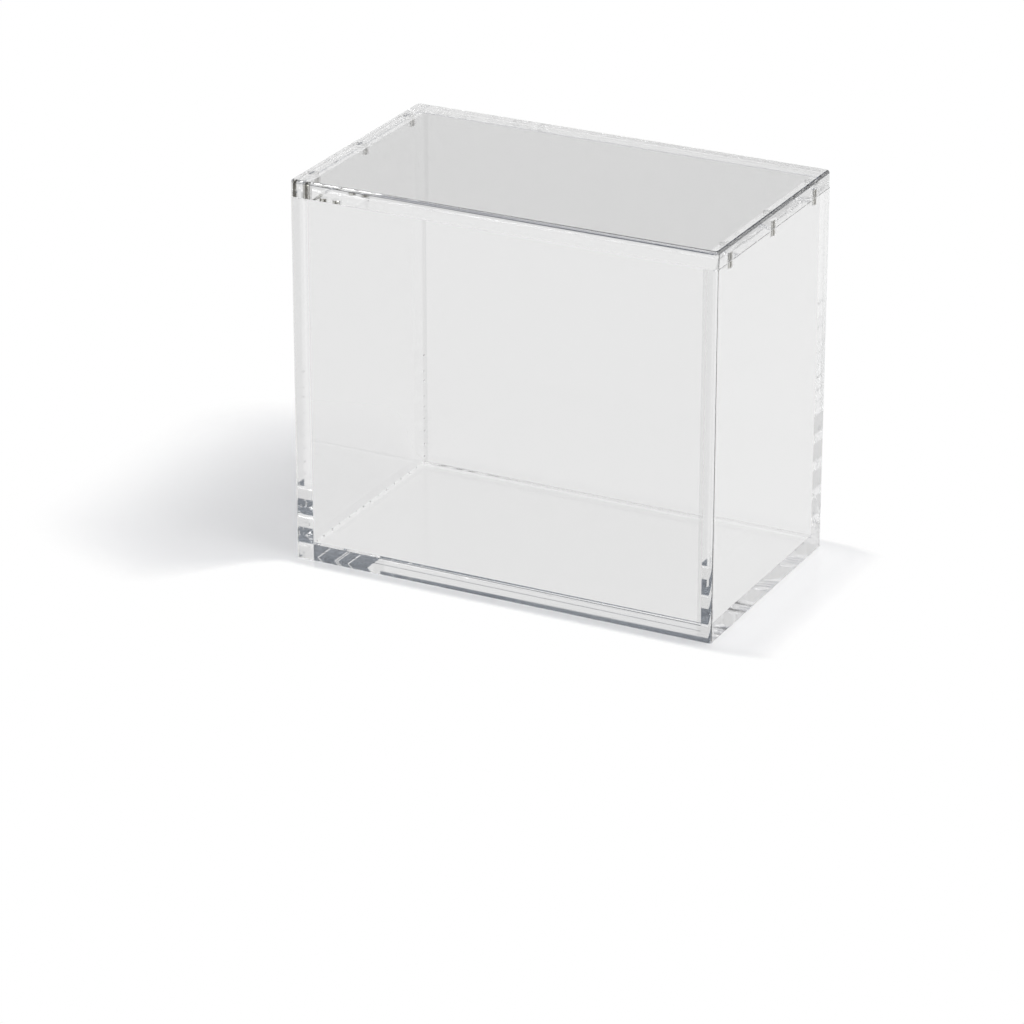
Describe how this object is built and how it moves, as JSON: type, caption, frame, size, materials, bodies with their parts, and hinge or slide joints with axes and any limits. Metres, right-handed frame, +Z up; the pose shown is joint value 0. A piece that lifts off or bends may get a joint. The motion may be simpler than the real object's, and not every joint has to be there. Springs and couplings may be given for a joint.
{
  "type": "magnetic lid display case",
  "caption": "Clear acrylic display case, a box glued from flat sheets with a flat lift-off lid that small disc magnets hold on, sized for a sealed box of card packs.",
  "frame": {"origin": "middle of the footprint, on the surface that the case stands on", "axes": "+X to the right along the width, +Y from the front to the back, +Z up"},
  "size_m": [0.155, 0.09, 0.136],
  "materials": {
    "clear_acrylic": "clear, with polished faces and edges",
    "nickel_plate": "bright nickel plate"
  },
  "bodies": {
    "case": {"base_panel": "clear_acrylic", "front_panel": "clear_acrylic", "back_panel": "clear_acrylic", "left_panel": "clear_acrylic", "right_panel": "clear_acrylic", "left_wall_magnet_1": "nickel_plate", "left_wall_magnet_2": "nickel_plate", "left_wall_magnet_3": "nickel_plate", "right_wall_magnet_1": "nickel_plate", "right_wall_magnet_2": "nickel_plate", "right_wall_magnet_3": "nickel_plate"},
    "lid": {"lid_panel": "clear_acrylic", "left_lid_magnet_1": "nickel_plate", "left_lid_magnet_2": "nickel_plate", "left_lid_magnet_3": "nickel_plate", "right_lid_magnet_1": "nickel_plate", "right_lid_magnet_2": "nickel_plate", "right_lid_magnet_3": "nickel_plate"}
  },
  "joints": [
    {"name": "lid_lift", "type": "slide", "parent": "case", "child": "lid", "axis": [0, 0, 1], "range_m": [0, 0.16]}
  ]
}
